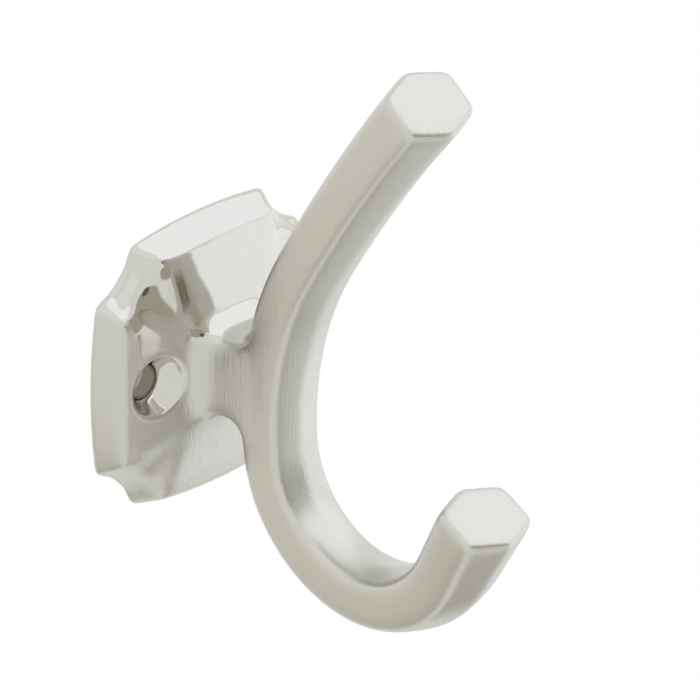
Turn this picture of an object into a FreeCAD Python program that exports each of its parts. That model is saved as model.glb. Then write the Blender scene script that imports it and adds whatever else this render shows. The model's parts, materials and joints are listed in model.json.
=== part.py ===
import FreeCAD, Part
import math
import os

import Sketcher
from FreeCAD import Vector

# Double robe hook, cast in one piece: a square plaque with bowed sides and scooped corners, a short
# neck, and a C-shaped arm of hexagonal section with a long upper prong and a curled lower prong.
# The wall is the XZ plane, the hook stands out of it towards -Y, and Z is up. The origin is the
# middle of the plaque on the wall. "Out" below is the distance from the wall, in millimetres.

DIMENSIONS = [
    # plaque
    ("plate_half", 19.9, "half side of the plaque at the wall, without the bow"),
    ("plate_cut", 6.8, "length taken off each end of a side by the corner"),
    ("plate_bow", 1.1, "how far a side bulges at its middle"),
    ("plate_dip", 1.0, "how far a corner is hollowed at the wall"),
    ("corner_round", 1.2, "rounding of the upright edges beside each corner"),
    ("rim_inset", 2.3, "how far the bevel leans in from the wall to the rim level"),
    ("rim_cut", 7.4, "corner cut at the rim level"),
    ("rim_bow", 0.6, "bulge of a side at the rim level"),
    ("rim_dip", 1.7, "hollow of a corner at the rim level"),
    ("rim_level", 6.5, "out, level to which the bevel is drawn"),
    ("rim_round", 2.0, "rounding of the rim"),
    # sloping faces, cove and neck
    ("face_apex", 7.65, "out, where the sloping faces would meet on the axis"),
    ("face_slope", 8.1, "slope of the faces to the wall, degrees"),
    ("cove_radius", 3.0, "hollow between a face and the neck"),
    ("neck_out", 10.5, "out, where the neck is measured"),
    ("neck_half_width", 5.5, "half width of the neck there"),
    ("neck_taper", 6.7, "taper of the neck's sides, degrees"),
    ("neck_half_height", 6.1, "half height of the neck at its waist"),
    ("neck_end", 17.0, "out, end of the neck inside the arm"),
    ("arch_upper", 6.4, "hollow between the neck and the upper arm"),
    ("arch_lower", 3.7, "hollow between the neck and the lower arm"),
    ("arch_upper_out", 16.4, "out, where the upper hollow ends in the arm"),
    ("arch_lower_out", 14.0, "out, where the lower hollow ends in the arm"),
    # corner flutes
    ("flute_start", 11.0, "distance from the axis where a flute starts"),
    ("flute_angle", 44.0, "half angle of the flute's cone, degrees"),
    ("flute_fall", 16.5, "fall of the flute's floor towards the corner, degrees"),
    # screw holes
    ("screw_spacing", 26.0, "distance between the two screw holes"),
    ("screw_bore", 4.6, "bore for the screw"),
    ("sink_width", 9.2, "diameter of the countersink"),
    ("sink_out", 5.65, "out, widest part of the countersink"),
    # arm
    ("arm_back", 16.2, "out, middle of the arm where it is upright"),
    ("arm_level", -5.5, "height of that point"),
    ("back_radius", 51.0, "bend of the arm behind the neck"),
    ("back_up", 30.4, "part of that bend above the upright point, degrees"),
    ("back_down", 3.3, "part of that bend below it, degrees"),
    ("upper_radius", 289.0, "bend of the upper prong"),
    ("upper_sweep", 7.7, "angle of that bend, degrees"),
    ("lower_radius", 18.2, "bend of the lower prong"),
    ("lower_sweep", 147.8, "angle of that bend, degrees"),
    ("lower_straight", 10.8, "straight end of the lower prong"),
    ("width_upper", 6.6, "half width of the arm at the upper end"),
    ("flat_upper", 3.5, "half length of its upright sides there"),
    ("depth_upper", 5.95, "half depth from ridge to ridge there"),
    ("width_back", 4.75, "half width behind the neck"),
    ("flat_back", 3.3, "half upright side behind the neck"),
    ("depth_back", 4.25, "half depth behind the neck"),
    ("width_bottom", 4.85, "half width at the lowest point"),
    ("flat_bottom", 3.45, "half upright side at the lowest point"),
    ("depth_bottom", 4.5, "half depth at the lowest point"),
    ("width_lower", 6.6, "half width at the lower end"),
    ("flat_lower", 3.55, "half upright side at the lower end"),
    ("depth_lower", 5.9, "half depth at the lower end"),
    ("arm_round", 0.9, "rounding along the arm's edges"),
    ("end_round", 0.6, "rounding round the end faces"),
]

doc = FreeCAD.newDocument("double_robe_hook")
sheet = doc.addObject("Spreadsheet::Sheet", "dimensions")
for row, (alias, number, meaning) in enumerate(DIMENSIONS, start=1):
    sheet.set(f"A{row}", alias)
    sheet.set(f"B{row}", str(number))
    sheet.setAlias(f"B{row}", alias)
    sheet.set(f"C{row}", meaning)
doc.recompute()


def dim(alias):
    """Present value of a dimension, for the first guess of a sketch."""
    return float(sheet.get(alias))


def ref(alias):
    """The dimension as it is written in an expression."""
    return "dimensions." + alias


body = doc.addObject("PartDesign::Body", "hook_casting")
body.Label = "hook_casting"
planes = {feature.Role: feature for feature in body.Origin.OriginFeatures}


def new_sketch(name, plane, offset=None):
    """Sketch on one of the body's origin planes, moved off it by an expression."""
    sketch = body.newObject("Sketcher::SketchObject", name)
    sketch.AttachmentSupport = (planes[plane], [""])
    sketch.MapMode = "FlatFace"
    if offset is not None:
        sketch.setExpression("AttachmentOffset.Base.z", offset)
    return sketch


def drive(sketch, kind, *where, to):
    """Add a dimension to a sketch and bind it to an expression."""
    index = sketch.addConstraint(Sketcher.Constraint(kind, *where, to[1]))
    sketch.setExpression(f"Constraints[{index}]", to[0])
    return index


def join(sketch, pairs, kind="Coincident"):
    for first, first_end, second, second_end in pairs:
        sketch.addConstraint(Sketcher.Constraint(kind, first, first_end, second, second_end))


def arc(centre, radius, start, end):
    """Arc of a circle in sketch coordinates, counter-clockwise between two angles in degrees."""
    circle = Part.Circle(Vector(*centre, 0), Vector(0, 0, 1), radius)
    return Part.ArcOfCircle(circle, math.radians(start), math.radians(end))


def line(start, end):
    return Part.LineSegment(Vector(*start, 0), Vector(*end, 0))


# half side of the plaque at the wall and at the rim level, as numbers and as expressions
WALL_HALF = (dim("plate_half"), ref("plate_half"))
RIM_HALF = (dim("plate_half") - dim("rim_inset"), f"({ref('plate_half')} - {ref('rim_inset')})")


def plaque_outline(name, level, half, cut, bow):
    """Square with four bowed sides that meet on the diagonals, at a level out from the wall."""
    sketch = new_sketch(name, "XZ_Plane", level)
    size, size_text = half
    radius = ((size - dim(cut)) ** 2 + dim(bow) ** 2) / (2 * dim(bow))
    radius_text = f"((({size_text} - {ref(cut)})^2 + {ref(bow)}^2) / (2 * {ref(bow)}))"
    middle = size + dim(bow) - radius
    middle_text = f"{radius_text} - {size_text} - {ref(bow)}"
    # half angle of a side, from its middle to the diagonal
    reach = 45 + math.degrees(math.asin(middle * math.sin(math.radians(45)) / radius))
    for heading in range(0, 360, 90):
        c, s = round(math.cos(math.radians(heading))), round(math.sin(math.radians(heading)))
        sketch.addGeometry(arc((c * middle, s * middle), radius, heading - reach, heading + reach))
    join(sketch, [(side, 2, (side + 1) % 4, 1) for side in range(4)])
    for side in range(4):
        drive(sketch, "Radius", side, to=(radius_text, radius))
        sketch.addConstraint(Sketcher.Constraint("PointOnObject", side, 3, -1 - side % 2))
    drive(sketch, "DistanceX", 0, 3, -1, 1, to=(middle_text, -middle))
    drive(sketch, "DistanceY", 1, 3, -1, 1, to=(middle_text, -middle))
    drive(sketch, "DistanceX", -1, 1, 2, 3, to=(middle_text, -middle))
    drive(sketch, "DistanceY", -1, 1, 3, 3, to=(middle_text, -middle))
    return sketch


def corner_circle(name, level, half, cut, dip):
    """Circle whose inner part is the hollow of one corner, at a level out from the wall."""
    sketch = new_sketch(name, "XZ_Plane", level)
    size, size_text = half
    radius = (dim(cut) ** 2 / 2 + dim(dip) ** 2) / (2 * dim(dip))
    middle = size - dim(cut) / 2 + (radius - dim(dip)) / math.sqrt(2)
    radius_text = f"(({ref(cut)}^2 / 2 + {ref(dip)}^2) / (2 * {ref(dip)}))"
    middle_text = f"{size_text} - {ref(cut)} / 2 + ({radius_text} - {ref(dip)}) / sqrt(2)"
    sketch.addGeometry(Part.Circle(Vector(middle, middle, 0), Vector(0, 0, 1), radius))
    drive(sketch, "Radius", 0, to=(radius_text, radius))
    drive(sketch, "DistanceX", -1, 1, 0, 3, to=(middle_text, middle))
    drive(sketch, "DistanceY", -1, 1, 0, 3, to=(middle_text, middle))
    return sketch


def same(first, second):
    return abs(first - second) < 1e-3


def fillet(name, base, edges, radius):
    """Round the numbered edges of a feature."""
    feature = body.newObject("PartDesign::Fillet", name)
    feature.Base = (base, [f"Edge{number}" for number in edges])
    feature.setExpression("Radius", ref(radius))
    body.Tip = feature
    doc.recompute()
    return feature


def bevel_edges(shape):
    """Numbers of the bevel's edges: those that rise from the wall, and those along the rim."""
    faces = [face for face in shape.Faces if face.BoundBox.YLength > 1
             and any(same(corner.Y, 0) for corner in face.Vertexes)]
    uses = {}
    for face in faces:
        for edge in face.Edges:
            uses[edge.hashCode()] = uses.get(edge.hashCode(), 0) + 1
    rising, rim = [], []
    for number, edge in enumerate(shape.Edges, start=1):
        used = uses.get(edge.hashCode(), 0)
        if used == 2:
            rising.append(number)
        elif used == 1 and not all(same(corner.Y, 0) for corner in edge.Vertexes):
            rim.append(number)
    return rising, rim


# Plaque: bowed sides that lean in from the wall towards the rim
wall_outline = plaque_outline("wall_outline", "0 mm", WALL_HALF, "plate_cut", "plate_bow")
rim_outline = plaque_outline("rim_outline", ref("rim_level"), RIM_HALF, "rim_cut", "rim_bow")
plaque = body.newObject("PartDesign::AdditiveLoft", "plaque")
plaque.Profile = wall_outline
plaque.Sections = [rim_outline]
plaque.Ruled = True
doc.recompute()


def cosine(angle):
    return f"cos({angle} * 1 deg)"


def sine(angle):
    return f"sin({angle} * 1 deg)"


def tangent(angle):
    return f"tan({angle} * 1 deg)"


def radians(alias):
    return math.radians(dim(alias))


# Block round the neck, cut to shape below by the faces, coves and hollows
BLOCK = (RIM_HALF[0] + dim("neck_half_width")) / 2
block_outline = new_sketch("block_outline", "XZ_Plane")
corners = [(-BLOCK, -BLOCK), (BLOCK, -BLOCK), (BLOCK, BLOCK), (-BLOCK, BLOCK)]
for index in range(4):
    block_outline.addGeometry(line(corners[index], corners[(index + 1) % 4]))
join(block_outline, [(index, 2, (index + 1) % 4, 1) for index in range(4)])
for index, kind in enumerate(("Horizontal", "Vertical", "Horizontal", "Vertical")):
    block_outline.addConstraint(Sketcher.Constraint(kind, index))
block_outline.addConstraint(Sketcher.Constraint("Symmetric", 0, 1, 2, 1, -1, 1))
block_text = f"({RIM_HALF[1]} + {ref('neck_half_width')}) / 2"
drive(block_outline, "DistanceX", -1, 1, 2, 1, to=(block_text, BLOCK))
drive(block_outline, "DistanceY", -1, 1, 2, 1, to=(block_text, BLOCK))
block = body.newObject("PartDesign::Pad", "neck_block")
block.Profile = block_outline
block.setExpression("Length", ref("neck_end"))
doc.recompute()

FAR = dim("plate_half") + 6
FAR_TEXT = f"({ref('plate_half')} + 6)"
FACE_FAR = dim("face_apex") - FAR * math.tan(radians("face_slope"))
FACE_FAR_TEXT = f"{ref('face_apex')} - {FAR_TEXT} * {tangent(ref('face_slope'))}"
CLEAR = dim("neck_end") + 1
CLEAR_TEXT = f"({ref('neck_end')} + 1)"


def side_space():
    """Open space beside the neck: sloping face, cove and tapered side, seen from above."""
    sketch = new_sketch("side_space", "XY_Plane")
    slope, taper, cove = dim("face_slope"), dim("neck_taper"), dim("cove_radius")
    end_width = dim("neck_half_width") - (CLEAR - dim("neck_out")) * math.tan(math.radians(taper))
    # centre of the cove, a radius away from the face and from the side of the neck
    x, y = dim("neck_half_width") + cove, -dim("neck_out") + 1
    start = (x + cove * math.cos(math.radians(90 + slope)), y + cove * math.sin(math.radians(90 + slope)))
    end = (x + cove * math.cos(math.radians(180 - taper)), y + cove * math.sin(math.radians(180 - taper)))
    sketch.addGeometry(line(start, (FAR, -FACE_FAR)))
    sketch.addGeometry(arc((x, y), cove, 90 + slope, 180 - taper))
    sketch.addGeometry(line((end_width, -CLEAR), end))
    sketch.addGeometry(line((end_width, -CLEAR), (FAR, -CLEAR)))
    sketch.addGeometry(line((FAR, -CLEAR), (FAR, -FACE_FAR)))
    join(sketch, [(0, 1, 1, 1), (1, 2, 2, 2)], "Tangent")
    join(sketch, [(2, 1, 3, 1), (3, 2, 4, 1), (4, 2, 0, 2)])
    sketch.addConstraint(Sketcher.Constraint("Horizontal", 3))
    sketch.addConstraint(Sketcher.Constraint("Vertical", 4))
    drive(sketch, "DistanceX", -1, 1, 0, 2, to=(FAR_TEXT, FAR))
    drive(sketch, "DistanceY", 0, 2, -1, 1, to=(FACE_FAR_TEXT, FACE_FAR))
    drive(sketch, "Angle", 0, to=(f"{ref('face_slope')} * 1 deg", math.radians(slope)))
    drive(sketch, "Radius", 1, to=(ref("cove_radius"), cove))
    width_text = (f"{ref('neck_half_width')} - ({CLEAR_TEXT} - {ref('neck_out')})"
                  f" * {tangent(ref('neck_taper'))}")
    drive(sketch, "DistanceX", -1, 1, 2, 1, to=(width_text, end_width))
    drive(sketch, "DistanceY", 2, 1, -1, 1, to=(CLEAR_TEXT, CLEAR))
    drive(sketch, "Angle", 2, to=(f"90 deg - {ref('neck_taper')} * 1 deg", math.radians(90 - taper)))
    return sketch


def arch_space(name, arch, arch_out, turned):
    """Open space above the neck, or below it where turned over: sloping face, cove, waist and arch."""
    sketch = new_sketch(name, "YZ_Plane")
    if turned:
        sketch.AttachmentOffset = FreeCAD.Placement(Vector(), FreeCAD.Rotation(Vector(1, 0, 0), 180))
    slope, cove, radius = dim("face_slope"), dim("cove_radius"), dim(arch)
    waist, start_out, end_out = dim("neck_half_height"), dim("neck_out"), dim(arch_out)
    sweep = math.degrees(math.asin((end_out - start_out) / radius))
    end_height = waist + radius * (1 - math.cos(math.radians(sweep)))
    cove_out = (dim("face_apex") - (waist + cove) * math.tan(math.radians(slope))
                + cove / math.cos(math.radians(slope)))
    x, y = -cove_out, waist + cove
    face_start = (x + cove * math.cos(math.radians(-slope)), y + cove * math.sin(math.radians(-slope)))
    sketch.addGeometry(line(face_start, (-FACE_FAR, FAR)))
    sketch.addGeometry(arc((x, y), cove, 270, 360 - slope))
    sketch.addGeometry(line((-start_out, waist), (x, waist)))
    sketch.addGeometry(arc((-start_out, waist + radius), radius, 270 - sweep, 270))
    sketch.addGeometry(line((-end_out, end_height), (-CLEAR, end_height)))
    sketch.addGeometry(line((-CLEAR, end_height), (-CLEAR, FAR)))
    sketch.addGeometry(line((-CLEAR, FAR), (-FACE_FAR, FAR)))
    join(sketch, [(1, 2, 0, 1), (1, 1, 2, 2), (2, 1, 3, 2)], "Tangent")
    join(sketch, [(3, 1, 4, 1), (4, 2, 5, 1), (5, 2, 6, 1), (6, 2, 0, 2)])
    for index, kind in ((2, "Horizontal"), (4, "Horizontal"), (5, "Vertical"), (6, "Horizontal")):
        sketch.addConstraint(Sketcher.Constraint(kind, index))
    drive(sketch, "Angle", 0, to=(f"90 deg - {ref('face_slope')} * 1 deg", math.radians(90 - slope)))
    drive(sketch, "DistanceX", 0, 2, -1, 1, to=(FACE_FAR_TEXT, FACE_FAR))
    drive(sketch, "DistanceY", -1, 1, 0, 2, to=(FAR_TEXT, FAR))
    drive(sketch, "Radius", 1, to=(ref("cove_radius"), cove))
    drive(sketch, "Radius", 3, to=(ref(arch), radius))
    drive(sketch, "DistanceY", -1, 1, 2, 1, to=(ref("neck_half_height"), waist))
    drive(sketch, "DistanceX", 2, 1, -1, 1, to=(ref("neck_out"), start_out))
    drive(sketch, "DistanceX", 3, 1, -1, 1, to=(ref(arch_out), end_out))
    drive(sketch, "DistanceX", 5, 1, -1, 1, to=(CLEAR_TEXT, CLEAR))
    return sketch


def cut_through(name, sketch):
    pocket = body.newObject("PartDesign::Pocket", name)
    pocket.Profile = sketch
    pocket.Type = "ThroughAll"
    pocket.SideType = "Symmetric"
    doc.recompute()
    return pocket


side_cut = cut_through("side_cut", side_space())
side_cut_mirror = body.newObject("PartDesign::Mirrored", "side_cut_mirror")
side_cut_mirror.Originals = [side_cut]
side_cut_mirror.MirrorPlane = (planes["YZ_Plane"], [""])
body.Tip = side_cut_mirror
doc.recompute()
upper_cut = cut_through("upper_cut", arch_space("upper_space", "arch_upper", "arch_upper_out", False))
lower_cut = cut_through("lower_cut", arch_space("lower_space", "arch_lower", "arch_lower_out", True))

_, rim_edges = bevel_edges(lower_cut.Shape)
fillet("rim_rounding", lower_cut, rim_edges, "rim_round")


def four_times(name, feature):
    """Repeat a corner feature round the plaque."""
    pattern = body.newObject("PartDesign::PolarPattern", name)
    pattern.Originals = [feature]
    pattern.Axis = (planes["Y_Axis"], [""])
    pattern.Angle = 360
    pattern.Occurrences = 4
    body.Tip = pattern
    doc.recompute()
    return pattern


# Each corner is hollowed from the wall to the front, and fluted across the front by part of a cone
# whose tip lies where two sloping faces meet
hollow = body.newObject("PartDesign::SubtractiveLoft", "corner_hollow")
hollow.Profile = corner_circle("corner_at_wall", "0 mm", WALL_HALF, "plate_cut", "plate_dip")
hollow.Sections = [corner_circle("corner_at_rim", ref("rim_level"), RIM_HALF, "rim_cut", "rim_dip")]
hollow.Ruled = True
doc.recompute()
four_times("corner_hollows", hollow)
FLUTE_LENGTH = f"({ref('plate_half')} - {ref('plate_cut')} / 2)"
flute_lift = f"({ref('flute_angle')} - {ref('flute_fall')})"
flute = body.newObject("PartDesign::SubtractiveCone", "corner_flute")
flute.AttachmentSupport = (planes["XZ_Plane"], [""])
flute.MapMode = "FlatFace"
flute.AttachmentOffset = FreeCAD.Placement(Vector(), FreeCAD.Rotation(Vector(-1, 1, 0), 60))
flute.Radius1 = 0
flute.setExpression("Radius2", f"{FLUTE_LENGTH} * {tangent(ref('flute_angle'))}")
flute.setExpression("Height", FLUTE_LENGTH)
flute.setExpression("AttachmentOffset.Base.x", f"{ref('flute_start')} / sqrt(2)")
flute.setExpression("AttachmentOffset.Base.y", f"{ref('flute_start')} / sqrt(2)")
flute.setExpression("AttachmentOffset.Base.z",
                    f"{ref('face_apex')} - {ref('flute_start')} / sqrt(2) * {tangent(ref('face_slope'))}")
flute.setExpression("AttachmentOffset.Rotation.Angle", f"90 deg - {flute_lift} * 1 deg")
doc.recompute()
flutes = four_times("corner_flutes", flute)
rising_edges, _ = bevel_edges(flutes.Shape)
fillet("corner_rounding", flutes, rising_edges, "corner_round")

# Countersunk screw holes left and right of the neck
hole_centres = new_sketch("hole_centres", "XZ_Plane", ref("sink_out"))
for side in (-1, 1):
    middle = Vector(side * dim("screw_spacing") / 2, 0, 0)
    hole_centres.addGeometry(Part.Circle(middle, Vector(0, 0, 1), dim("sink_width") / 2))
for index in (0, 1):
    drive(hole_centres, "Diameter", index, to=(ref("sink_width"), dim("sink_width")))
hole_centres.addConstraint(Sketcher.Constraint("PointOnObject", 0, 3, -1))
hole_centres.addConstraint(Sketcher.Constraint("Symmetric", 0, 3, 1, 3, -1, 1))
drive(hole_centres, "DistanceX", 0, 3, 1, 3, to=(ref("screw_spacing"), dim("screw_spacing")))
doc.recompute()
head_space = body.newObject("PartDesign::Pocket", "head_space")
head_space.Profile = hole_centres
head_space.Reversed = True
head_space.setExpression("Length", f"{ref('neck_end')} - {ref('sink_out')}")
doc.recompute()
screw_holes = body.newObject("PartDesign::Hole", "screw_holes")
screw_holes.Profile = hole_centres
screw_holes.DepthType = "ThroughAll"
screw_holes.setExpression("Diameter", ref("screw_bore"))
screw_holes.HoleCutType = "Countersink"
screw_holes.HoleCutCustomValues = True
screw_holes.setExpression("HoleCutDiameter", ref("sink_width"))
screw_holes.HoleCutCountersinkAngle = 90
doc.recompute()

# Path of the arm in the middle plane, from the lower end to the upper end
BACK_UP, BACK_DOWN = ref("back_up"), ref("back_down")
UP_END = f"({BACK_UP} + {ref('upper_sweep')})"
LOW_END = f"({BACK_DOWN} + {ref('lower_sweep')})"
up, down = radians("back_up"), radians("back_down")
up_end = up + radians("upper_sweep")
low_end = down + radians("lower_sweep")


def path_points():
    """Ends of the path's arcs as (out, height), each as numbers and as expressions."""
    back, level, bend = dim("arm_back"), dim("arm_level"), dim("back_radius")
    rise, curl, straight = dim("upper_radius"), dim("lower_radius"), dim("lower_straight")
    joint_up = (back + bend * (1 - math.cos(up)), level + bend * math.sin(up))
    joint_down = (back + bend * (1 - math.cos(down)), level - bend * math.sin(down))
    tip_up = (joint_up[0] + rise * (math.cos(up) - math.cos(up_end)),
              joint_up[1] + rise * (math.sin(up_end) - math.sin(up)))
    curl_end = (joint_down[0] + curl * (math.cos(down) - math.cos(low_end)),
                joint_down[1] + curl * (math.sin(down) - math.sin(low_end)))
    tip_down = (curl_end[0] + straight * math.sin(low_end), curl_end[1] - straight * math.cos(low_end))
    numbers = dict(joint_up=joint_up, joint_down=joint_down, tip_up=tip_up, curl_end=curl_end,
                   tip_down=tip_down)
    back, level, bend = ref("arm_back"), ref("arm_level"), ref("back_radius")
    rise, curl, straight = ref("upper_radius"), ref("lower_radius"), ref("lower_straight")
    joint_up = (f"{back} + {bend} * (1 - {cosine(BACK_UP)})", f"{level} + {bend} * {sine(BACK_UP)}")
    joint_down = (f"{back} + {bend} * (1 - {cosine(BACK_DOWN)})", f"{level} - {bend} * {sine(BACK_DOWN)}")
    tip_up = (f"{joint_up[0]} + {rise} * ({cosine(BACK_UP)} - {cosine(UP_END)})",
              f"{joint_up[1]} + {rise} * ({sine(UP_END)} - {sine(BACK_UP)})")
    curl_end = (f"{joint_down[0]} + {curl} * ({cosine(BACK_DOWN)} - {cosine(LOW_END)})",
                f"{joint_down[1]} + {curl} * ({sine(BACK_DOWN)} - {sine(LOW_END)})")
    tip_down = (f"{curl_end[0]} + {straight} * {sine(LOW_END)}",
                f"{curl_end[1]} - {straight} * {cosine(LOW_END)}")
    texts = dict(joint_up=joint_up, joint_down=joint_down, tip_up=tip_up, curl_end=curl_end,
                 tip_down=tip_down)
    return numbers, texts


points, point_texts = path_points()
path = new_sketch("arm_path", "YZ_Plane")


def path_arc(radius, start, end, first_angle, last_angle):
    """Arc of the path about the centre that lies further out."""
    x = -points[start][0] - dim(radius) * math.cos(first_angle)
    y = points[start][1] - dim(radius) * math.sin(first_angle)
    path.addGeometry(arc((x, y), dim(radius), math.degrees(first_angle), math.degrees(last_angle)))


path.addGeometry(line((-points["tip_down"][0], points["tip_down"][1]),
                      (-points["curl_end"][0], points["curl_end"][1])))
path_arc("lower_radius", "curl_end", "joint_down", -low_end, -down)
path_arc("back_radius", "joint_down", "joint_up", -down, up)
path_arc("upper_radius", "joint_up", "tip_up", up, up_end)
join(path, [(0, 2, 1, 1), (1, 2, 2, 1), (2, 2, 3, 1)])
for index, end, name in ((0, 1, "tip_down"), (1, 1, "curl_end"), (2, 1, "joint_down"), (2, 2, "joint_up"),
                         (3, 2, "tip_up")):
    out, height = points[name]
    drive(path, "DistanceX", index, end, -1, 1, to=(point_texts[name][0], out))
    drive(path, "DistanceY", -1, 1, index, end, to=(point_texts[name][1], height))
for index, radius in ((1, "lower_radius"), (2, "back_radius"), (3, "upper_radius")):
    drive(path, "Radius", index, to=(ref(radius), dim(radius)))


def arm_section(station, out, height, angle):
    """Hexagon with softened corners: upright sides to left and right, ridges inside and outside."""
    sketch = new_sketch(f"{station}_section", "XZ_Plane", out)
    sketch.AttachmentOffset = FreeCAD.Placement(Vector(), FreeCAD.Rotation(Vector(1, 0, 0), 10))
    sketch.setExpression("AttachmentOffset.Base.y", height)
    sketch.setExpression("AttachmentOffset.Rotation.Angle", angle)
    width, flat, depth = dim(f"width_{station}"), dim(f"flat_{station}"), dim(f"depth_{station}")
    width_text, flat_text, depth_text = (ref(f"{part}_{station}") for part in ("width", "flat", "depth"))
    soft, soft_text = dim("arm_round"), ref("arm_round")
    lean = math.atan((depth - flat) / width)
    lean_text = f"atan(({depth_text} - {flat_text}) / {width_text})"
    ridge = depth - soft / math.cos(lean)
    ridge_text = f"({depth_text} - {soft_text} / cos({lean_text}))"
    shoulder = flat - soft * math.tan(math.pi / 4 - lean / 2)
    shoulder_text = f"({flat_text} - {soft_text} * tan(45 deg - {lean_text} / 2))"
    # first quadrant: the corner turns in equal steps from the upright side to the slope, then the ridge
    quadrant = []
    for step in range(CORNER_STEPS + 1):
        turn = (math.pi / 2 - lean) * step / CORNER_STEPS
        turn_text = f"((90 deg - {lean_text}) * {step} / {CORNER_STEPS})"
        quadrant.append(((width - soft + soft * math.cos(turn), shoulder + soft * math.sin(turn)),
                         (f"{width_text} - {soft_text} + {soft_text} * cos({turn_text})",
                          f"{shoulder_text} + {soft_text} * sin({turn_text})")))
    quadrant.append(((soft * math.sin(lean), ridge + soft * math.cos(lean)),
                     (f"{soft_text} * sin({lean_text})", f"{ridge_text} + {soft_text} * cos({lean_text})")))
    outline = []
    for side_x, side_y in ((1, 1), (-1, 1), (-1, -1), (1, -1)):
        corner = quadrant if side_x == side_y else quadrant[::-1]
        outline += [((side_x * spot[0], side_y * spot[1]), text, side_x, side_y) for spot, text in corner]
    count = len(outline)
    for index in range(count):
        sketch.addGeometry(line(outline[index][0], outline[(index + 1) % count][0]))
    join(sketch, [(index, 2, (index + 1) % count, 1) for index in range(count)])
    for index, (spot, text, side_x, side_y) in enumerate(outline):
        across = (-1, 1, index, 1) if side_x > 0 else (index, 1, -1, 1)
        along = (-1, 1, index, 1) if side_y > 0 else (index, 1, -1, 1)
        drive(sketch, "DistanceX", *across, to=(text[0], abs(spot[0])))
        drive(sketch, "DistanceY", *along, to=(text[1], abs(spot[1])))
    return sketch


CORNER_STEPS = 3
bottom_out = f"{point_texts['joint_down'][0]} + {ref('lower_radius')} * {cosine(BACK_DOWN)}"
bottom_height = f"{point_texts['joint_down'][1]} + {ref('lower_radius')} * ({sine(BACK_DOWN)} - 1)"
lower_section = arm_section("lower", *point_texts["tip_down"], f"270 deg - {LOW_END} * 1 deg")
bottom_section = arm_section("bottom", bottom_out, bottom_height, "180 deg")
back_section = arm_section("back", ref("arm_back"), ref("arm_level"), "-90 deg")
upper_section = arm_section("upper", *point_texts["tip_up"], f"{UP_END} * 1 deg - 90 deg")
doc.recompute()
arm = body.newObject("PartDesign::AdditivePipe", "arm")
arm.Profile = lower_section
arm.Spine = (path, ["Edge1", "Edge2", "Edge3", "Edge4"])
arm.Sections = [bottom_section, back_section, upper_section]
arm.Transformation = "Multisection"
arm.Mode = "Standard"
doc.recompute()

# Soft edges round the flat end faces of the arm
end_edges = []
for face in arm.Shape.Faces:
    middle = face.CenterOfMass
    for name in ("tip_down", "tip_up"):
        out, height = points[name]
        if math.hypot(middle.y + out, middle.z - height) < dim("arm_round"):
            end_edges += [edge.hashCode() for edge in face.Edges]
end_numbers = [number for number, edge in enumerate(arm.Shape.Edges, start=1) if edge.hashCode() in end_edges]
fillet("end_rounding", arm, end_numbers, "end_round")

for item in doc.Objects:
    if "Invalid" in item.State or "Error" in item.State:
        raise RuntimeError(f"{item.Name} did not build: {item.State}")
if body.Shape.isNull() or not body.Shape.isValid() or len(body.Shape.Solids) != 1:
    raise RuntimeError("the casting is not one valid solid")
print("hook_casting", round(body.Shape.Volume, 1), "mm3")

os.makedirs("parts", exist_ok=True)
body.Shape.exportStep("parts/hook_casting.step")
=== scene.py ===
import json
import math

import bpy
import numpy as np
from mathutils import Matrix, Vector
from mathutils.bvhtree import BVHTree


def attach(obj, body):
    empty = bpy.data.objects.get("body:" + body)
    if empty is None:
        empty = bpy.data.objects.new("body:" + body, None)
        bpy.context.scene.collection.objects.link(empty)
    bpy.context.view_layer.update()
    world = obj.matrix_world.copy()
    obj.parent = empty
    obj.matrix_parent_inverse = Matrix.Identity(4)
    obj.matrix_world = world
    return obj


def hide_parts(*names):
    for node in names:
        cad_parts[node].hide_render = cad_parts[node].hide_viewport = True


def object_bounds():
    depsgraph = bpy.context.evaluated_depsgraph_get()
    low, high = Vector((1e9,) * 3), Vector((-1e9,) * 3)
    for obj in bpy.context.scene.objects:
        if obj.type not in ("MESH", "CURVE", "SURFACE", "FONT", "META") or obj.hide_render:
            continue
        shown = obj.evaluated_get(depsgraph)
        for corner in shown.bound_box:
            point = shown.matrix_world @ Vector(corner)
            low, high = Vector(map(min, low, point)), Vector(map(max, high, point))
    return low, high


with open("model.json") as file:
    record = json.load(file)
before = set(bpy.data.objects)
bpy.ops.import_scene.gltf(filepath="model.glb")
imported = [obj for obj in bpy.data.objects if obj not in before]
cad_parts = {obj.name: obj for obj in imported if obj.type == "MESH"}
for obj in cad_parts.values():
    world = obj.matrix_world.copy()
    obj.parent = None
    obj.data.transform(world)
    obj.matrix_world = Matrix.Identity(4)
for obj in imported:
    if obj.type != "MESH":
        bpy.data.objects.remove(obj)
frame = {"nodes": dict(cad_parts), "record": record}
CAD_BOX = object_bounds()

# The hook is one plated casting. The wall is the XZ plane, the hook stands out of it towards -Y, and Z is
# up. Lengths are in metres.
MM = 0.001
casting = frame["nodes"]["hook_casting"]
screw_holes = next(mount for mount in frame["record"]["mounts"] if mount["name"] == "screw_holes")
HOLE_FROM_AXIS = screw_holes["dims"]["spacing_x_mm"] / 2 * MM
HOLE_RADIUS = screw_holes["dims"]["hole_r_mm"] * MM

# Skin of the casting: the distance from the solid's surface is sampled on a grid and blurred, which rounds
# every edge and hollow as tumbling and buffing do, and the skin lies where the blurred distance is nil.
GRID = 0.34 * MM  # spacing of the grid's points
BAND = 2.8 * MM  # how far from the surface the distance is taken
MARGIN = 2.3 * GRID  # room outside the band, which also keeps points off the middle plane and the wall
CRISP = 0.40 * MM  # width of the blur where the casting is worn least
SOFT = 1.20 * MM  # and where it is worn most
SETTLING = 10  # rounds that spread the skin's points, and as many that only draw them to the surface


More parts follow.
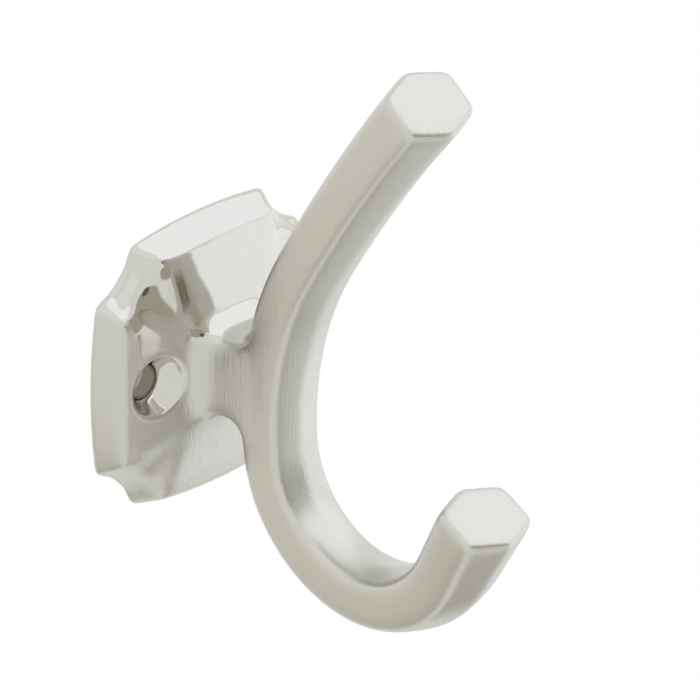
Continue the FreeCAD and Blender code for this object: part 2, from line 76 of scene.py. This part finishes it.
def step(value, low, high):
    """Smooth step of an array from 0 at one limit to 1 at the other."""
    share = np.clip((value - low) / (high - low), 0, 1)
    return share * share * (3 - 2 * share)


def grid_axes():
    """Places of the grid's points along X, Y and Z, with room for the band round the casting."""
    low, high = np.array(CAD_BOX[0]), np.array(CAD_BOX[1])
    start = low - BAND - MARGIN
    counts = np.ceil((high - low + 2 * BAND) / GRID).astype(int) + 4
    return [start[axis] + GRID * np.arange(counts[axis]) for axis in range(3)]


def points_inside(surface, axes):
    """Which grid points lie inside the casting, from where upright lines enter and leave it."""
    inside = np.zeros([len(axis) for axis in axes], dtype=bool)
    upwards = Vector((0, 0, 1))
    foot = axes[2][0]
    for i, x in enumerate(axes[0]):
        for j, y in enumerate(axes[1]):
            entry = None
            spot, normal, _, _ = surface.ray_cast(Vector((x, y, foot)), upwards)
            while spot is not None:
                if normal.z < 0:
                    entry = spot.z
                elif entry is not None:
                    first, last = np.ceil((np.array([entry, spot.z]) - foot) / GRID).astype(int)
                    inside[i, j, first:last] = True
                    entry = None
                spot, normal, _, _ = surface.ray_cast(spot + upwards * (GRID / 1000), upwards)
    return inside


def grown(mask, steps):
    """The mask with this many more grid points on every side."""
    for axis in range(3):
        wider = mask.copy()
        for shift in range(1, steps + 1):
            wider |= np.roll(mask, shift, axis) | np.roll(mask, -shift, axis)
        mask = wider
    return mask


def distances(surface, axes):
    """Distance of each grid point from the casting's surface, negative inside, up to the band's depth."""
    inside = points_inside(surface, axes)
    skin = np.zeros_like(inside)
    for axis in range(3):
        change = inside != np.roll(inside, 1, axis)
        skin |= change | np.roll(change, -1, axis)
    field = np.full(inside.shape, BAND, dtype=np.float32)
    for i, j, k in np.argwhere(grown(skin, math.ceil(BAND / GRID))):
        found = surface.find_nearest(Vector((axes[0][i], axes[1][j], axes[2][k])), BAND)
        if found[3] is not None:
            field[i, j, k] = found[3]
    return np.where(inside, -field, field)


def blurred(field, width):
    """The field averaged with a bell-shaped weight of this width."""
    reach = math.ceil(2.5 * width / GRID)
    weights = np.exp(-0.5 * (np.arange(-reach, reach + 1) * GRID / width) ** 2)
    weights /= weights.sum()
    for axis in range(3):
        field = sum(weight * np.roll(field, shift, axis)
                    for shift, weight in zip(range(-reach, reach + 1), weights)).astype(np.float32)
    return field


def wear(axes):
    """How soft the casting is worn, 0 to 1: most on the plaque's front, least by the wall and the holes."""
    x, y, z = np.meshgrid(*[axis.astype(np.float32) for axis in axes], indexing="ij", sparse=True)
    # the neck passes into the arm 11 to 16 mm from the wall
    arm = 1 - 0.6 * step(-y, 11 * MM, 16 * MM)
    wall = 0.15 + 0.85 * step(-y, 0.5 * MM, 2.5 * MM)
    # the plaque's rim is 16.8 to 18.2 mm from the axis, with the bevels outside it
    outer = step(np.maximum(np.abs(x), np.abs(z)), 16.8 * MM, 18.2 * MM)
    bevel = 1 - 0.75 * outer * step(y, -13 * MM, -9 * MM)
    hole = step(np.hypot(np.abs(x) - HOLE_FROM_AXIS, z), 5.0 * MM, 6.5 * MM)
    return arm * wall * bevel * hole


def laid_on_cells(field):
    """One point in each grid cell that the surface passes through, and the quads that join them."""
    below = field < 0
    cell = tuple(slice(0, size - 1) for size in field.shape)
    corners = np.zeros([size - 1 for size in field.shape], dtype=np.uint8)
    for i, j, k in np.ndindex(2, 2, 2):
        corners += below[i:i + corners.shape[0], j:j + corners.shape[1], k:k + corners.shape[2]]
    crossed = (corners > 0) & (corners < 8)
    number = np.full(crossed.shape, -1)
    number[crossed] = np.arange(crossed.sum())
    quads = []
    for axis in range(3):
        second, third = np.eye(3, dtype=int)[(axis + 1) % 3], np.eye(3, dtype=int)[(axis + 2) % 3]
        here, there = below[cell], np.roll(below, -1, axis)[cell]
        edge = np.argwhere(here != there)
        ring = [edge - second - third, edge - third, edge, edge - second]
        quad = np.stack([number[tuple(corner.T)] for corner in ring], axis=1)
        leaving = here[tuple(edge.T)]
        quads.append(np.where(leaving[:, None], quad, quad[:, ::-1]))
    return np.argwhere(crossed) + 0.5, np.concatenate(quads)


def read_at(field, spots):
    """Value of a field between grid points, at places given in grid steps."""
    corner = np.floor(spots).astype(int)
    share = spots - corner
    total = 0
    for offset in np.ndindex(2, 2, 2):
        weight = np.prod(np.where(offset, share, 1 - share), axis=1)
        total = total + weight * field[tuple((corner + offset).T)]
    return total


def polished_skin(name):
    """The casting's skin as an even mesh of small quads."""
    mesh = casting.data
    surface = BVHTree.FromPolygons([v.co for v in mesh.vertices], [p.vertices for p in mesh.polygons])
    axes = grid_axes()
    field = distances(surface, axes)
    worn = wear(axes)
    field = (worn * blurred(field, SOFT) + (1 - worn) * blurred(field, CRISP)) / GRID
    slopes = np.gradient(field)
    spots, quads = laid_on_cells(field)
    ends = np.concatenate([quads[:, [i, (i + 1) % 4]] for i in range(4)])
    neighbours = np.bincount(ends[:, 0], minlength=len(spots))
    for turn in range(2 * SETTLING):
        if turn < SETTLING:
            # spread the points evenly before they are drawn to the surface
            mean = [np.bincount(ends[:, 0], spots[ends[:, 1], axis], len(spots)) for axis in range(3)]
            spots = np.stack(mean, axis=1) / neighbours[:, None]
        slope = np.stack([read_at(part, spots) for part in slopes], axis=1)
        spots -= slope * (read_at(field, spots) / np.sum(slope ** 2, axis=1))[:, None]
    skin = bpy.data.meshes.new(name)
    skin.from_pydata(spots * GRID + [axis[0] for axis in axes], [], quads.tolist())
    skin.shade_smooth()
    piece = bpy.data.objects.new(name, skin)
    bpy.context.collection.objects.link(piece)
    return piece


hook = polished_skin("hook_body")
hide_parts("hook_casting")
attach(hook, "root")


def linear(hex_colour):
    """sRGB hex colour as linear RGBA."""
    channels = [int(hex_colour[i:i + 2], 16) / 255 for i in (1, 3, 5)]
    return [c / 12.92 if c <= 0.04045 else ((c + 0.055) / 1.055) ** 2.4 for c in channels] + [1.0]


def add(tree, kind, inputs=None, **settings):
    """Add a node with its settings. An input is a value, or another node's output to link from."""
    node = tree.nodes.new(kind)
    for name, value in settings.items():
        setattr(node, name, value)
    for name, value in (inputs or {}).items():
        if isinstance(value, bpy.types.NodeSocket):
            tree.links.new(value, node.inputs[name])
        else:
            node.inputs[name].default_value = value
    return node


def satin_nickel():
    """Brushed nickel plate: soft broad reflections with fine upright lines on the open faces, and a
    slightly wavy mirror polish in the screw holes and on the plaque above the neck, where the brush
    doesn't reach."""
    material = bpy.data.materials.new("satin_nickel")
    material.use_nodes = True
    tree = material.node_tree
    tree.nodes.clear()
    surface = add(tree, "ShaderNodeTexCoord").outputs
    place = surface["Object"]
    axes = add(tree, "ShaderNodeSeparateXYZ", {"Vector": place}).outputs
    side = add(tree, "ShaderNodeMath", {0: axes["X"]}, operation="ABSOLUTE").outputs[0]
    # the polish starts above this line, which rises on the bevels at the sides to keep it to the corners
    line = add(tree, "ShaderNodeMapRange", {"Value": side, "From Min": 15.5 * MM, "From Max": 17.5 * MM,
                                            "To Min": 5.5 * MM, "To Max": 11.5 * MM},
               interpolation_type="SMOOTHSTEP").outputs[0]
    over = add(tree, "ShaderNodeMath", {0: axes["Z"], 1: line}, operation="SUBTRACT").outputs[0]
    above = add(tree, "ShaderNodeMapRange", {"Value": over, "From Min": -0.7 * MM, "From Max": 0.7 * MM},
                interpolation_type="SMOOTHSTEP").outputs[0]
    off_hole = add(tree, "ShaderNodeMath", {0: side, 1: HOLE_FROM_AXIS}, operation="SUBTRACT").outputs[0]
    from_hole = add(tree, "ShaderNodeCombineXYZ", {"X": off_hole, "Z": axes["Z"]}).outputs[0]
    radius = add(tree, "ShaderNodeVectorMath", {0: from_hole}, operation="LENGTH").outputs["Value"]
    in_hole = add(tree, "ShaderNodeMapRange", {"Value": radius, "From Min": 5.0 * MM, "From Max": 4.5 * MM},
                  interpolation_type="SMOOTHSTEP").outputs[0]
    hidden = add(tree, "ShaderNodeMath", {0: above, 1: in_hole}, operation="MAXIMUM").outputs[0]
    # neither the arm nor the back of the plaque is polished
    by_wall = add(tree, "ShaderNodeMapRange",
                  {"Value": axes["Y"], "From Min": -16.5 * MM, "From Max": -12.5 * MM},
                  interpolation_type="SMOOTHSTEP").outputs[0]
    off_back = add(tree, "ShaderNodeMapRange", {"Value": axes["Y"], "From Min": 0.0, "From Max": -0.5 * MM},
                   interpolation_type="SMOOTHSTEP").outputs[0]
    front = add(tree, "ShaderNodeMath", {0: by_wall, 1: off_back}, operation="MULTIPLY").outputs[0]
    polish = add(tree, "ShaderNodeMath", {0: hidden, 1: front}, operation="MULTIPLY").outputs[0]
    # brush lines about 0.3 mm apart and 15 mm long, as coarse as they need to be to show
    stretched = add(tree, "ShaderNodeMapping", {"Vector": place, "Scale": (1, 1, 0.02)}).outputs[0]
    brush = add(tree, "ShaderNodeTexNoise", {"Vector": stretched, "Scale": 1 / (0.3 * MM), "Detail": 2.0,
                                             "Roughness": 0.6}).outputs["Fac"]
    satin = add(tree, "ShaderNodeMapRange", {"Value": brush, "From Min": 0.25, "From Max": 0.75,
                                             "To Min": 0.28, "To Max": 0.40}).outputs[0]
    roughness = add(tree, "ShaderNodeMix", {"Factor": polish, "A": satin, "B": 0.08}).outputs[0]
    # waves of the hand-held buff, about 5 mm long
    waves = add(tree, "ShaderNodeTexNoise", {"Vector": place, "Scale": 1 / (5 * MM),
                                             "Detail": 0.0}).outputs["Fac"]
    # the upright brush leaves no lines on the ends and other faces that look up or down
    upward = add(tree, "ShaderNodeSeparateXYZ", {"Vector": surface["Normal"]}).outputs["Z"]
    level = add(tree, "ShaderNodeMath", {0: upward}, operation="ABSOLUTE").outputs[0]
    depth = add(tree, "ShaderNodeMapRange", {"Value": level, "From Min": 0.5, "From Max": 0.75,
                                             "To Min": 0.04 * MM, "To Max": 0.0}).outputs[0]
    lines = add(tree, "ShaderNodeMath", {0: brush, 1: depth}, operation="MULTIPLY").outputs[0]
    swells = add(tree, "ShaderNodeMath", {0: waves, 1: 0.08 * MM}, operation="MULTIPLY").outputs[0]
    relief = add(tree, "ShaderNodeMix", {"Factor": polish, "A": lines, "B": swells}).outputs[0]
    bump = add(tree, "ShaderNodeBump", {"Height": relief, "Strength": 1.0, "Distance": 1.0})
    metal = add(tree, "ShaderNodeBsdfPrincipled", {
        "Base Color": linear("#cccbc3"), "Metallic": 1.0, "Roughness": roughness,
        "Normal": bump.outputs["Normal"]})
    add(tree, "ShaderNodeOutputMaterial", {"Surface": metal.outputs["BSDF"]})
    return material


hook.data.materials.append(satin_nickel())


def heading(azimuth, elevation):
    """Unit vector towards a place seen from the hook. Azimuth 0 is straight out, and 90 is to the right."""
    turn, rise = math.radians(azimuth), math.radians(elevation)
    return Vector((math.sin(turn) * math.cos(rise), -math.cos(turn) * math.cos(rise), math.sin(rise)))


def facing(place, target=Vector()):
    """Placement at a point, with the local -Z axis towards the target and X level."""
    back = (place - target).normalized()
    right = Vector((0, 0, 1)).cross(back).normalized()
    turned = Matrix((right, back.cross(right), back)).transposed().to_4x4()
    turned.translation = place
    return turned


# Camera: a parallel view from the upper left, with the plaque left of the picture's middle
VIEW_WIDTH = 95.37 * MM
MIDDLE_RIGHT, MIDDLE_DOWN = 21.32 * MM, 0.75 * MM
CAMERA_AWAY = 0.6
view = heading(-46.0, 26.5)
right = Vector((0, 0, 1)).cross(view).normalized()
middle = right * MIDDLE_RIGHT - view.cross(right) * MIDDLE_DOWN
camera_data = bpy.data.cameras.new("camera")
camera_data.type = "ORTHO"
camera_data.ortho_scale = VIEW_WIDTH
camera_data.dof.use_dof = False
camera = bpy.data.objects.new("camera", camera_data)
bpy.context.collection.objects.link(camera)
camera.matrix_world = facing(middle + view * CAMERA_AWAY, middle)
bpy.context.scene.camera = camera

# White surroundings, which the metal shows as well
world = bpy.data.worlds.new("white_room")
bpy.context.scene.world = world
world.use_nodes = True
world.node_tree.nodes.clear()
air = add(world.node_tree, "ShaderNodeBackground", {"Color": linear("#ffffff"), "Strength": 1.0})
add(world.node_tree, "ShaderNodeOutputWorld", {"Surface": air.outputs[0]})


def pale_floor():
    """Matt near-white paper that is plain white to the camera and in what the metal shows."""
    material = bpy.data.materials.new("pale_floor")
    material.use_nodes = True
    tree = material.node_tree
    tree.nodes.clear()
    rays = add(tree, "ShaderNodeLightPath").outputs
    mirrored = add(tree, "ShaderNodeMath", {0: rays["Is Glossy Ray"], 1: rays["Is Transmission Ray"]},
                   operation="ADD").outputs[0]
    seen = add(tree, "ShaderNodeMath", {0: rays["Is Camera Ray"], 1: mirrored}, operation="ADD").outputs[0]
    paper = add(tree, "ShaderNodeBsdfDiffuse", {"Color": linear("#f2f2f0")}).outputs[0]
    white = add(tree, "ShaderNodeEmission", {"Color": linear("#ffffff"), "Strength": 1.0}).outputs[0]
    mixed = add(tree, "ShaderNodeMixShader", {0: seen, 1: paper, 2: white}).outputs[0]
    add(tree, "ShaderNodeOutputMaterial", {"Surface": mixed})
    return material


# Floor well below the hook
FLOOR_LEVEL = -0.6
FLOOR_HALF = 2
mesh = bpy.data.meshes.new("floor")
corners = [(x * FLOOR_HALF, y * FLOOR_HALF, FLOOR_LEVEL) for x, y in ((-1, -1), (1, -1), (1, 1), (-1, 1))]
mesh.from_pydata(corners, [], [range(len(corners))])
mesh.materials.append(pale_floor())
floor = bpy.data.objects.new("floor", mesh)
bpy.context.collection.objects.link(floor)


def card(name, place, radius, core, colour, target=Vector()):
    """Round grey card that faces its target, fades out from its core to its edge and is clear from behind."""
    material = bpy.data.materials.new(name)
    material.use_nodes = True
    tree = material.node_tree
    tree.nodes.clear()
    spot = add(tree, "ShaderNodeTexCoord").outputs["Object"]
    away = add(tree, "ShaderNodeVectorMath", {0: spot}, operation="LENGTH").outputs["Value"]
    edge = add(tree, "ShaderNodeMapRange", {"Value": away, "From Min": core, "From Max": radius},
               interpolation_type="SMOOTHSTEP").outputs[0]
    behind = add(tree, "ShaderNodeNewGeometry").outputs["Backfacing"]
    fade = add(tree, "ShaderNodeMath", {0: edge, 1: behind}, operation="MAXIMUM").outputs[0]
    grey = add(tree, "ShaderNodeEmission", {"Color": linear(colour), "Strength": 1.0}).outputs[0]
    clear = add(tree, "ShaderNodeBsdfTransparent").outputs[0]
    mixed = add(tree, "ShaderNodeMixShader", {0: fade, 1: grey, 2: clear}).outputs[0]
    add(tree, "ShaderNodeOutputMaterial", {"Surface": mixed})
    mesh = bpy.data.meshes.new(name)
    rim = [(radius * math.cos(math.radians(turn)), radius * math.sin(math.radians(turn)), 0)
           for turn in range(360, 0, -10)]
    mesh.from_pydata(rim, [], [range(len(rim))])
    mesh.materials.append(material)
    piece = bpy.data.objects.new(name, mesh)
    bpy.context.collection.objects.link(piece)
    piece.matrix_world = facing(place, target)
    return piece


def softbox(name, place, size, brightness):
    """Studio lamp behind a square cool white cloth, brighter than the room by this much."""
    data = bpy.data.lights.new(name, "AREA")
    data.size = size
    data.color = linear("#e0e7ff")[:3]
    data.energy = math.pi * size * size * brightness
    lamp = bpy.data.objects.new(name, data)
    bpy.context.collection.objects.link(lamp)
    lamp.matrix_world = facing(place)
    lamp.visible_camera = False


STUDIO = 0.8  # distance of the lamps and of most cards from the hook
softbox("softbox_upper_right", heading(64, 52) * STUDIO, 1.1, 0.42)
softbox("softbox_right", heading(66, -15) * STUDIO, 0.85, 0.32)
softbox("softbox_upper_left", heading(-85, 60) * STUDIO, 0.7, 0.10)
# cards round the room, which only reflections show
for room_card in (card("grey_front", heading(4, 14) * STUDIO, 0.44, 0.40, "#bab8ab"),
                  card("dark_camera", heading(-18, 18) * 0.7, 0.12, 0.11, "#6b695e"),
                  card("grey_low_front", heading(16, -36) * STUDIO, 0.36, 0.10, "#e8e6de"),
                  card("grey_under", Vector((30, -65, -118)) * MM, 0.055, 0.01, "#bebcb2"),
                  card("grey_low_left", Vector((-85, 20, -120)) * MM, 0.08, 0.03, "#cfcdc3"),
                  card("grey_back_left", heading(-135, -35) * STUDIO, 0.62, 0.2, "#f5f1eb")):
    room_card.visible_camera = False
# painted shade in the screw holes: grey glowing cards, which the camera sees too, stand in for the wall that
# closes the holes and for the shade inside them. The edges of these cards are inside the metal.
for name, side in (("left_bore_shade", -1), ("right_bore_shade", 1)):
    mouth = Vector((side * HOLE_FROM_AXIS, -0.6 * MM, 0))
    card(name, mouth, HOLE_RADIUS + 1 * MM, HOLE_RADIUS + 0.9 * MM, "#98968a", mouth + heading(0, 0))

bpy.context.scene.view_settings.view_transform = "Standard"
